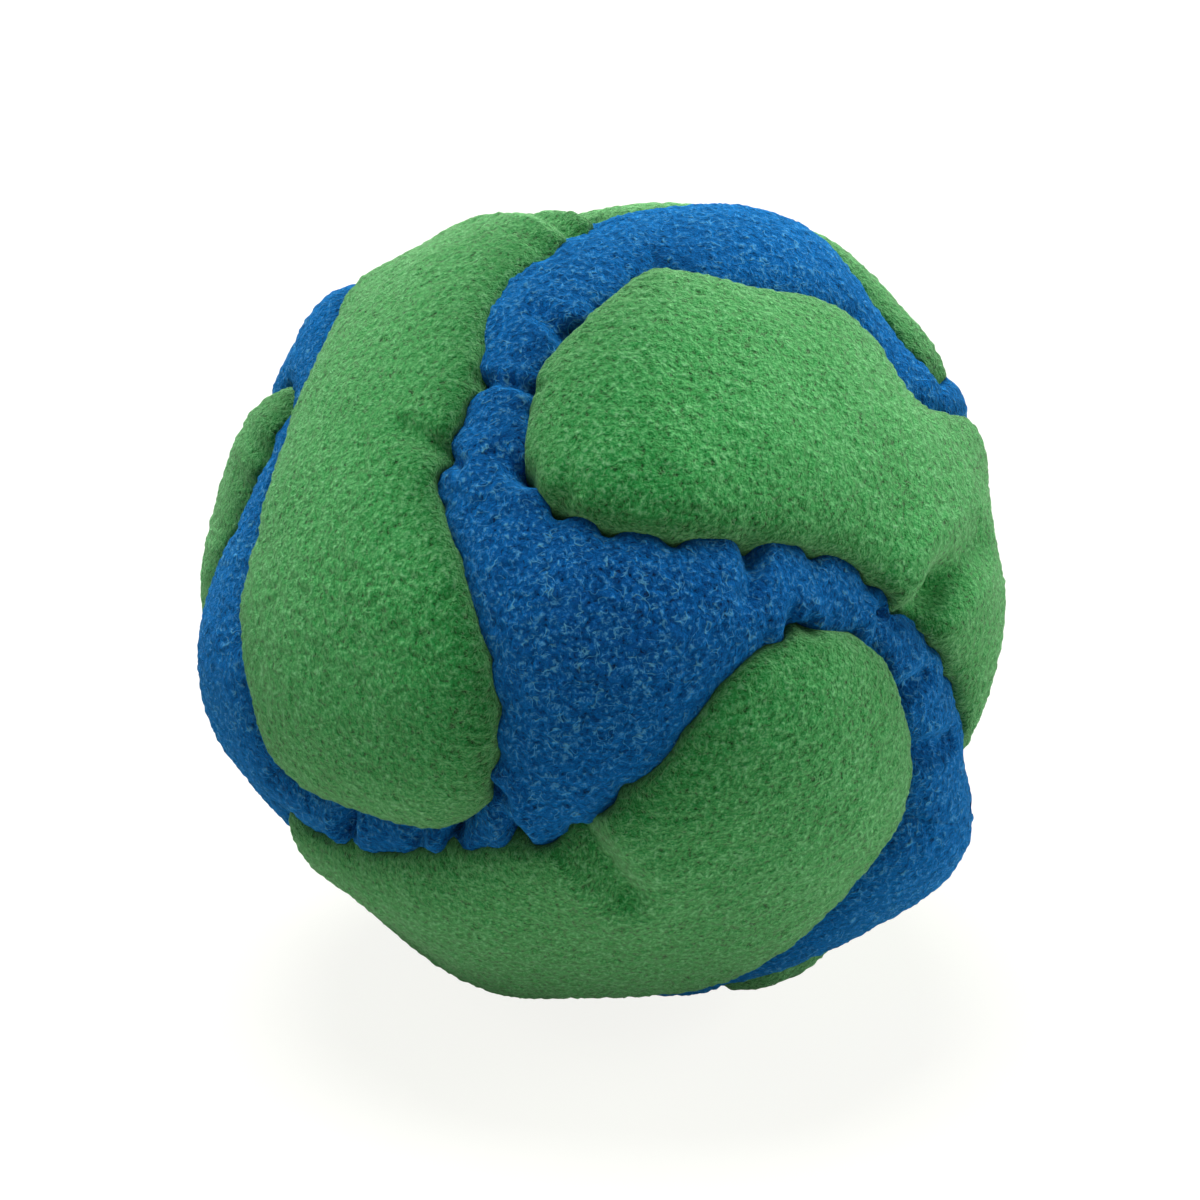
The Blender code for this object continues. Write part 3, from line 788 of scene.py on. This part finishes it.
def crease_depth(directions, creases):
    """How far the creases sink the cloth, with a small lift on both sides of each."""
    depth = np.zeros(len(directions))
    for start, stop, sink, width, taper in creases:
        span = stop - start
        reach = np.linalg.norm(span) + FELT_WIDTHS * width / CORNER_RADIUS
        near = directions @ unit(start + stop) > math.cos(reach)
        local = directions[near]
        share = np.clip((local - start) @ span / span.dot(span), 0, 1)
        gap = np.linalg.norm(local - start - share[:, None] * span, axis=1) * CORNER_RADIUS
        cut = np.exp(-((gap / width) ** 2))
        side_lift = SIDE_LIFT_SHARE * np.exp(-((gap / (SIDE_LIFT_WIDTHS * width)) ** 2))
        depth[near] += sink * (1 - taper * share) * (cut - side_lift)
    return depth


first_pleat = placed_creases(ARM_PLEATS[:1])
print("the first pleat sinks", crease_depth(np.array([first_pleat[0][0]]), first_pleat).round(2))

# %% [markdown]
# ## The ten panels
# A bone is cut fuller than the space it has, so its sides stand up and lean out over the
# seam. A pinwheel lies lower and flatter. Each panel is one skin with its edge turned in
# and down along the seam, as the allowance of a sewn seam is, so that no gap shows. A
# Solidify modifier could thicken the whole cloth, but only the edge can be looked into.
# The panel replaces its CAD solid and lies where the solid lies.

# %% How each kind of cloth puffs, in mm
KINDS = {
    "bone": {
        "height": 2.6, "reach": 2.8, "crown": 0.3, "crown_reach": 7.0, "power": 0.5,
        "lean": 0.6, "dent": 0.45, "dent_reach": 1.5, "gather": 0.3, "gather_width": 0.8,
        "lump": 0.2, "towards_bone": 1,
    },
    "pinwheel": {
        "height": 1.45, "reach": 2.0, "crown": 0.2, "crown_reach": 6.0, "power": 0.55,
        "lean": 0.0, "dent": 0.4, "dent_reach": 1.1, "gather": 0.2, "gather_width": 0.6,
        "lump": 0.15, "towards_bone": -1,
    },
}
SCALLOP_REACH = 1.6
LUMP_SIZE = 4.5
NAP_SIZE = 0.45
NAP_HEIGHT = 0.17
SEED_SHIFTS = (7.3, 3.1, 5.7)


def noise_at(places, size, seed):
    """Smooth noise from about -1 to 1 at each place, for lumps of a size in mm."""
    shift = Vector([seed * part for part in SEED_SHIFTS])
    return np.array([noise.noise(Vector(p) + shift) for p in places / size])


print("kinds of cloth:", ", ".join(KINDS))

# %% Puff one panel up
# A fall this small, in share of the height per mm, halves the lean
LEVEL_FALL = 0.02
LOOSE_LEAN = 1.25
# How fast the painted shade of a seam fades into the panel
SHADE_POWER = 2


def puffed_panel(kind, loop, middle, seed):
    """A panel's skin, triangles and rim, and how much painted seam shade each point gets."""
    random = np.random.default_rng(seed)
    points, triangles, rim = cloth_grid(loop, middle)
    weights = skin_weights(points, triangles)
    held = (seam_rise(points[rim]) / kind["height"]) ** (1 / kind["power"])
    puff = np.clip(settle(weights, rim, held, kind["reach"], 1.0), 0, 1)
    crown = np.clip(settle(weights, rim, 0.0, kind["crown_reach"], 1.0), 0, 1)
    dents = settle(weights, rim, stitch_pull(points[rim]), kind["dent_reach"], 0.0)

    # The cloth's sides lean out over the seam, most where they are half as high as the
    # middle and least at the stitches, and the seam runs in scallops
    fall = downhill(points, triangles, puff)
    fall = fall / (np.linalg.norm(fall, axis=1, keepdims=True) + LEVEL_FALL)
    lean = kind["lean"] * 4 * np.sqrt(puff) * (1 - np.sqrt(puff)) * (LOOSE_LEAN - dents)
    moved = points + fall * (lean / CORNER_RADIUS)[:, None]
    push = side_into(points[rim]) * scallops(points[rim])[:, None] * kind["towards_bone"]
    for axis in range(3):
        eased = settle(weights, rim, push[:, axis], SCALLOP_REACH, 0.0)
        moved[:, axis] += eased / CORNER_RADIUS
    directions = unit(moved)

    steep = puff ** kind["power"]
    places = points * CORNER_RADIUS
    lift = kind["height"] * steep + kind["crown"] * crown - kind["dent"] * dents
    lift += kind["lump"] * noise_at(places, LUMP_SIZE, seed) * steep
    lift += NAP_HEIGHT * noise_at(places, NAP_SIZE, seed)
    creases = gathers(loop, kind["gather"], kind["gather_width"], random)
    creases += placed_creases(ARM_PLEATS if kind is KINDS["pinwheel"] else LOBE_FOLDS)
    creases += placed_creases(TIGHT_PINCHES)
    lift -= crease_depth(points, creases)
    skin = directions * (seam_radius(directions) + lift)[:, None] + CENTRE

    # The ball rests on a small flat
    skin[:, 2] = np.maximum(skin[:, 2], 0)
    return skin, triangles, rim, (1 - puff) ** SHADE_POWER


# %% Turn the edge of a panel in
# How far down and how far aside each row of the turned edge lies, in mm
EDGE_ROWS = ((0.5, 0.08), (SEAM_ALLOWANCE, 0.3))


def turned_edge(skin, rim, middle):
    """Two more rows of points that take the edge of the cloth down into the seam."""
    edge = skin[rim] - CENTRE
    outward = unit(edge)
    inward = unit(np.cross(outward, np.roll(edge, -1, axis=0) - np.roll(edge, 1, axis=0)))
    inward = inward * np.sign(np.sum(inward * (middle - outward), axis=1).mean())
    return [edge - outward * drop + inward * aside + CENTRE for drop, aside in EDGE_ROWS]


print("rows in a turned edge:", len(EDGE_ROWS))

# %% Make the panels
panels = {}


def make_panel(name, loop, middle, seed):
    """One panel as a mesh, with the painted shade of its seam kept on its points."""
    kind = KINDS[name.split("_")[0]]
    skin, triangles, rim, shade = puffed_panel(kind, loop, middle, seed)
    rows = turned_edge(skin, rim, middle)
    points = np.concatenate([skin, *rows])
    faces = triangles.tolist()
    upper = rim
    for k, row in enumerate(rows):
        lower = len(skin) + k * len(rim) + np.arange(len(rim))
        ring = np.stack([upper, lower, np.roll(lower, -1), np.roll(upper, -1)], axis=1)
        faces += ring.tolist()
        upper = lower
    mesh = bpy.data.meshes.new(name)
    mesh.from_pydata((points * MM).tolist(), [], faces)
    mesh.shade_smooth()
    # Painted seam shade: most at the seam and on the turned edge, fading into the panel
    shade = np.concatenate([shade, np.ones(len(points) - len(skin))])
    mesh.attributes.new("painted_seam_shade", "FLOAT", "POINT").data.foreach_set("value", shade)
    panel = bpy.data.objects.new(name, mesh)
    bpy.context.scene.collection.objects.link(panel)
    panels[name] = panel
    print(name, len(mesh.polygons), "faces")


for seed, (bone, (axis, _)) in enumerate(BONES.items()):
    make_panel(f"bone_cloth_{bone}", bone_loop(bone), TURN @ np.array(axis, float), seed)
for seed, (pinwheel, corner) in enumerate(PINWHEELS.items(), start=len(BONES)):
    middle = unit(TURN @ np.array(corner, float))
    make_panel(f"pinwheel_cloth_{pinwheel}", pinwheel_loop(pinwheel), middle, seed)

# %% Hide the CAD node that each panel replaces, and attach the panel to the root body
for name, panel in panels.items():
    node = name.replace("_cloth_", "_panel_")
    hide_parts(node)
    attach(panel, "root")
print("panels that stand for CAD nodes:", len(panels))

# %% [markdown]
# ## Brushed fleece
# Brushed microfibre fleece is knitted polyester whose surface was raised with wire
# brushes into a dense short nap. It has no highlight. Dark pits show between its tufts,
# pale loose fibres lie on them, the seams lie in shade, and fibre tips seen edge on catch
# the light. Hair particles could draw each fibre, but they are heavy and an exported model
# loses them, so noise, a bump and the shader's sheen stand for them. The shade in the pits
# and in the seams and the sheen of tips seen edge on are also painted into the colour. A
# real fibre is about 0.01 mm thick and can't show at this distance, so the tufts and
# fibres are drawn 0.3 to 0.85 mm across. The blue nap is longer.

# %% Colours and helpers for nodes
# A texture scale of 1000 per metre draws its pattern about 1 mm large
PER_MM = 1000.0


def linear(hex_colour):
    """An sRGB hex colour as the linear colour that Blender works in."""
    parts = [int(hex_colour[k:k + 2], 16) / 255 for k in (1, 3, 5)]
    bent = [p / 12.92 if p <= 0.04045 else ((p + 0.055) / 1.055) ** 2.4 for p in parts]
    return (*bent, 1.0)


def fill_sockets(node, **values):
    """Fills the sockets that are named with a number, a colour or a node's output. i0, i1
    and so on stand for sockets by number."""
    for name, value in values.items():
        numbered = name[0] == "i" and name[1:].isdigit()
        socket = node.inputs[int(name[1:]) if numbered else name.replace("_", " ")]
        if isinstance(value, bpy.types.NodeSocket):
            node.id_data.links.new(value, socket)
        else:
            socket.default_value = value


def add_node(material, kind, settings=None, **values):
    """Adds a node with its settings, and with its sockets filled."""
    node = material.node_tree.nodes.new(kind)
    for name, value in (settings or {}).items():
        setattr(node, name, value)
    fill_sockets(node, **values)
    return node


def new_material(name):
    """A material and its shader node."""
    material = bpy.data.materials.new(name)
    material.use_nodes = True
    return material, material.node_tree.nodes["Principled BSDF"]


print("white in linear light:", linear("#FFFFFF"))

# %% The two cloths: colours, sizes of tufts and fibres in mm, and bump depth in mm
FLEECES = {
    # The first colour of each cloth is painted shade, for the pits between tufts and for the
    # seams
    "green": {
        "pits_and_seams_shade": "#001404", "dark": "#20963E", "middle": "#38C25E", "pale": "#B0FCB8",
        # Next come a painted sheen colour for places seen edge on and the shader's own sheen
        # tint
        "painted_sheen_colour": "#D4F6CC", "sheen": "#90DC8E",
        "tuft": 0.3, "fibre": 0.5, "fibre_share": 0.5, "bump": 1.6,
    },
    "blue": {
        "pits_and_seams_shade": "#00102E", "dark": "#00529A", "middle": "#006ABE", "pale": "#7AD6FF",
        "painted_sheen_colour": "#5ABEFA", "sheen": "#0A96F4",
        "tuft": 0.34, "fibre": 0.85, "fibre_share": 1.0, "bump": 1.4,
    },
}
print("fleeces:", ", ".join(FLEECES))

# %% Tufts, with painted shade in the pits between them
PATCH_SIZE = 5.0
PATCH_SHARE = 0.12
# Tuft heights for the painted pit shade, the cloth's two own colours and the pale tops
COLOUR_LEVELS = {"pits_and_seams_shade": 0.39, "dark": 0.46, "middle": 0.6, "pale": 0.8}


def tufts_and_pits(material, place, cloth):
    """The nap's height, and its colour by that height: painted shade in the pits,
    the cloth's own colours in between, and paler on the tufts' tops.
    """
    tufts = add_node(material, "ShaderNodeTexNoise", Vector=place,
                     Scale=PER_MM / cloth["tuft"], Detail=4.0, Roughness=0.65)
    patches = add_node(material, "ShaderNodeTexNoise", Vector=place,
                       Scale=PER_MM / PATCH_SIZE, Detail=2.0)
    level = add_node(material, "ShaderNodeMath", {"operation": "MULTIPLY_ADD"},
                     i0=patches.outputs["Fac"], i1=PATCH_SHARE, i2=tufts.outputs["Fac"])
    ramp = add_node(material, "ShaderNodeValToRGB", Fac=level.outputs[0])
    stops = ramp.color_ramp.elements
    stops[0].position = COLOUR_LEVELS["pits_and_seams_shade"]
    stops[0].color = linear(cloth["pits_and_seams_shade"])
    stops[1].position = COLOUR_LEVELS["pale"]
    stops[1].color = linear(cloth["pale"])
    for name in ("dark", "middle"):
        stops.new(COLOUR_LEVELS[name]).color = linear(cloth[name])
    return tufts.outputs["Fac"], ramp.outputs["Color"]


print("patches in the nap are about", PATCH_SIZE, "mm across")

# %% Loose fibres: thin curling lines
LINE_HALF_SHARE = 0.03
BREAK_SHARE = 0.8
BREAK_LEVELS = (0.46, 0.6)


def loose_fibres(material, place, cloth):
    """Lines where a noise crosses its middle value, broken up by a second noise."""
    curls = add_node(material, "ShaderNodeTexNoise", Vector=place,
                     Scale=PER_MM / cloth["fibre"], Detail=1.0, Distortion=0.6)
    off = add_node(material, "ShaderNodeMath", {"operation": "SUBTRACT"},
                   i0=curls.outputs["Fac"], i1=0.5)
    off = add_node(material, "ShaderNodeMath", {"operation": "ABSOLUTE"}, i0=off.outputs[0])
    line = add_node(material, "ShaderNodeMapRange", {"interpolation_type": "SMOOTHSTEP"},
                    Value=off.outputs[0], From_Min=0.0, From_Max=LINE_HALF_SHARE,
                    To_Min=1.0, To_Max=0.0)
    breaks = add_node(material, "ShaderNodeTexNoise", Vector=place,
                      Scale=PER_MM / (BREAK_SHARE * cloth["fibre"]), Detail=1.0)
    parts = add_node(material, "ShaderNodeMapRange", Value=breaks.outputs["Fac"],
                     From_Min=BREAK_LEVELS[0], From_Max=BREAK_LEVELS[1])
    fibres = add_node(material, "ShaderNodeMath", {"operation": "MULTIPLY"},
                      i0=line.outputs[0], i1=parts.outputs[0])
    return fibres.outputs[0]


print("a fibre line is", 2 * LINE_HALF_SHARE, "of its noise's range wide")

# %% Painted shade in the seams and painted sheen where the nap is seen edge on
# How far the painted seam shade goes towards the dark shade colour, and how wide and strong the
# painted sheen of edge-on places is
SEAM_DARKNESS = 0.75
PAINTED_SHEEN_WIDTH = 0.12
PAINTED_SHEEN_SHARE = 0.8


def paint_shade_in_seams_and_sheen(material, colour, cloth):
    """Paints shade into the nap's colour where it turns into its seam, and paints a pale
    sheen where it is seen edge on, less of it in a seam."""
    shade = add_node(material, "ShaderNodeAttribute", {"attribute_name": "painted_seam_shade"})
    near = add_node(material, "ShaderNodeMath", {"operation": "MULTIPLY"},
                    i0=shade.outputs["Fac"], i1=SEAM_DARKNESS)
    # Painted shade: near a seam the colour turns towards the dark shade colour
    seam_shaded = add_node(material, "ShaderNodeMix", {"data_type": "RGBA"},
                      i0=near.outputs[0], i6=colour, i7=linear(cloth["pits_and_seams_shade"]))
    # Painted sheen: places seen edge on are mixed towards a pale colour, less of it in a seam
    edge_on = add_node(material, "ShaderNodeLayerWeight", Blend=PAINTED_SHEEN_WIDTH)
    clear = add_node(material, "ShaderNodeMath", {"operation": "SUBTRACT"},
                     i0=1.0, i1=near.outputs[0])
    painted_sheen = add_node(material, "ShaderNodeMath", {"operation": "MULTIPLY"},
                     i0=edge_on.outputs["Facing"], i1=clear.outputs[0])
    painted_sheen = add_node(material, "ShaderNodeMath", {"operation": "MULTIPLY"},
                     i0=painted_sheen.outputs[0], i1=PAINTED_SHEEN_SHARE)
    with_painted_sheen = add_node(material, "ShaderNodeMix", {"data_type": "RGBA"},
                      i0=painted_sheen.outputs[0], i6=seam_shaded.outputs[2],
                      i7=linear(cloth["painted_sheen_colour"]))
    return with_painted_sheen.outputs[2]


# The painted shade deep in a seam
print("the nap deep in a seam is", SEAM_DARKNESS, "pit colour")

# %% The fleece materials
FIBRE_HEIGHT_SHARE = 0.25


def fleece(name, cloth):
    """Brushed fleece: matt, with sheen and next to no highlight."""
    material, shader = new_material(name)
    place = add_node(material, "ShaderNodeTexCoord").outputs["Object"]
    tufts, colour = tufts_and_pits(material, place, cloth)
    fibres = loose_fibres(material, place, cloth)
    shown = add_node(material, "ShaderNodeMath", {"operation": "MULTIPLY"},
                     i0=fibres, i1=cloth["fibre_share"])
    mixed = add_node(material, "ShaderNodeMix", {"data_type": "RGBA"},
                     i0=shown.outputs[0], i6=colour, i7=linear(cloth["pale"]))
    colour = paint_shade_in_seams_and_sheen(material, mixed.outputs[2], cloth)
    height = add_node(material, "ShaderNodeMath", {"operation": "MULTIPLY_ADD"},
                      i0=fibres, i1=FIBRE_HEIGHT_SHARE, i2=tufts)
    bump = add_node(material, "ShaderNodeBump", Height=height.outputs[0],
                    Distance=cloth["bump"] * MM, Strength=1.0)
    fill_sockets(shader, Base_Color=colour, Normal=bump.outputs["Normal"],
                 Roughness=0.95, IOR=1.5, Specular_IOR_Level=0.1,
                 Sheen_Weight=1.0, Sheen_Roughness=0.24, Sheen_Tint=linear(cloth["sheen"]))
    return material


green_fleece = fleece("green_brushed_fleece", FLEECES["green"])
blue_fleece = fleece("blue_brushed_fleece", FLEECES["blue"])
for name, panel in panels.items():
    panel.data.materials.append(green_fleece if name.startswith("bone") else blue_fleece)
print("panels with fleece:", len(panels))

# %% [markdown]
# ## Thread and pellets
# The thread is twisted polyester, a little shinier than the nap, with a twist of about
# 1.5 mm. The pellets are moulded polyethylene, about 3 mm across. Both lie inside the
# bag. Each real stitch and each pellet could be a mesh of its own, but nothing of them
# shows, so the plain solids get the finish that a look through an open seam would show.

# %% Twisted polyester thread
# Diagonal waves lie 0.363 mm apart at a scale of one per mm
WAVE_SPACING = 0.363
THREAD_TWIST_SHARE = 4.0
thread, shader = new_material("twisted_polyester_thread")
place = add_node(thread, "ShaderNodeTexCoord").outputs["Object"]
twist = add_node(thread, "ShaderNodeTexWave", {"bands_direction": "DIAGONAL"}, Vector=place,
                 Scale=PER_MM / THREAD_TWIST_SHARE, Distortion=1.0).outputs["Fac"]
ramp = add_node(thread, "ShaderNodeValToRGB", Fac=twist)
ramp.color_ramp.elements[0].color = linear("#24552C")
ramp.color_ramp.elements[1].color = linear("#3F7A48")
fill_sockets(shader, Base_Color=ramp.outputs["Color"], Roughness=0.55, IOR=1.57)
print("thread twist:", round(WAVE_SPACING * THREAD_TWIST_SHARE, 2), "mm")

# %% Moulded polyethylene pellets
PELLET_SIZE = 3.0
PELLET_BUMP = 0.8
pellets, shader = new_material("moulded_polyethylene_pellets")
place = add_node(pellets, "ShaderNodeTexCoord").outputs["Object"]
grains = add_node(pellets, "ShaderNodeTexVoronoi", Vector=place, Scale=PER_MM / PELLET_SIZE)
ramp = add_node(pellets, "ShaderNodeValToRGB", Fac=grains.outputs["Distance"])
ramp.color_ramp.elements[0].color = linear("#E4DFD2")
ramp.color_ramp.elements[1].color = linear("#9C9688")
bump = add_node(pellets, "ShaderNodeBump", {"invert": True}, Height=grains.outputs["Distance"],
                Distance=PELLET_BUMP * MM)
fill_sockets(shader, Base_Color=ramp.outputs["Color"], Normal=bump.outputs["Normal"],
             Roughness=0.45, IOR=1.51)
print("pellets:", PELLET_SIZE, "mm across")

# %% Give the hidden pieces their finishes
for name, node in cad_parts.items():
    finish = thread if "thread" in name else pellets
    for slot in node.material_slots:
        slot.material = finish
print("finished", len(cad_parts), "CAD nodes")

# %% [markdown]
# ## Floor, light and camera
# The photograph is a catalogue picture on plain white. A picture could be cut out and
# laid on white, but then the ball has no shadow, so a sheet of pale paper carries it. The
# ball is lit by a wide lamp overhead and a little behind, one to the right, two weak ones
# to the left and in front, and a dim white room. The camera looks down by 24 degrees,
# which puts a blue panel straight below, where the ball rests. Its distance, about 45 cm,
# is a guess, and the lens then follows from the ball's size in the picture.

# %% Floor
FLOOR_HALF = 3.0
PAPER_GLOW = 0.88
floor_mesh = bpy.data.meshes.new("floor")
floor_mesh.from_pydata([(-FLOOR_HALF, -FLOOR_HALF, 0), (FLOOR_HALF, -FLOOR_HALF, 0),
                        (FLOOR_HALF, FLOOR_HALF, 0), (-FLOOR_HALF, FLOOR_HALF, 0)],
                       [], [(0, 1, 2, 3)])
floor = bpy.data.objects.new("floor", floor_mesh)
bpy.context.scene.collection.objects.link(floor)

# The camera sees the paper mostly by a glow, so that it comes out white and still keeps
# a little of the ball's shadow. All other rays meet plain pale paper without the glow.
paper, shader = new_material("white_paper")
seen = add_node(paper, "ShaderNodeLightPath").outputs["Is Camera Ray"]
glow = add_node(paper, "ShaderNodeMath", {"operation": "MULTIPLY"}, i0=seen, i1=PAPER_GLOW)
shade = add_node(paper, "ShaderNodeMix", {"data_type": "RGBA"}, i0=seen,
                 i6=linear("#D0D0CC"), i7=linear("#62625F"))
fill_sockets(shader, Base_Color=shade.outputs[2], Roughness=0.9,
             Emission_Color=linear("#FFFFFB"), Emission_Strength=glow.outputs[0])
floor_mesh.materials.append(paper)
print("floor:", 2 * FLOOR_HALF, "m wide")

# %% Lamps and world
# Each lamp: where it hangs and how wide it is, in metres, and its power in watts
LAMPS = {
    "top_lamp": ((-0.1, 0.25, 1.0), 0.7, 18.5),
    "left_lamp": ((-0.95, 0.25, 0.5), 0.6, 2.5),
    "right_lamp": ((0.95, 0.2, 0.3), 0.6, 9.0),
    "front_lamp": ((0.6, -1.1, 0.5), 0.8, 1.2),
}
ROOM_LIGHT = 0.13

for name, (place, size, power) in LAMPS.items():
    data = bpy.data.lights.new(name, "AREA")
    data.shape = "DISK"
    data.size = size
    data.energy = power
    lamp = bpy.data.objects.new(name, data)
    lamp.location = place
    way = Vector(tuple(CENTRE * MM)) - Vector(place)
    lamp.rotation_euler = way.to_track_quat("-Z", "Y").to_euler()
    bpy.context.scene.collection.objects.link(lamp)
world = bpy.data.worlds.new("room")
bpy.context.scene.world = world
world.use_nodes = True
fill_sockets(world.node_tree.nodes["Background"], Color=linear("#FFFFFF"), Strength=ROOM_LIGHT)
print("lamps:", ", ".join(LAMPS))

# %% Camera, in mm
CAMERA_DISTANCE = 446.0
FRAME_WIDTH = 77.2
SENSOR_WIDTH = 36.0
BALL_RIGHT_OF_MIDDLE = 0.62

data = bpy.data.cameras.new("camera")
data.sensor_width = SENSOR_WIDTH
data.lens = SENSOR_WIDTH * CAMERA_DISTANCE / FRAME_WIDTH
camera = bpy.data.objects.new("camera", data)
aim = CENTRE - RIGHT * BALL_RIGHT_OF_MIDDLE
stand_point = aim + TOWARDS * CAMERA_DISTANCE
camera.location = Vector(stand_point * MM)
camera.rotation_euler = Vector(-TOWARDS).to_track_quat("-Z", "Y").to_euler()
bpy.context.scene.collection.objects.link(camera)
bpy.context.scene.camera = camera
bpy.context.scene.view_settings.view_transform = "Standard"
print("lens", round(data.lens, 1), "mm")

# %% Update the scene
bpy.context.view_layer.update()
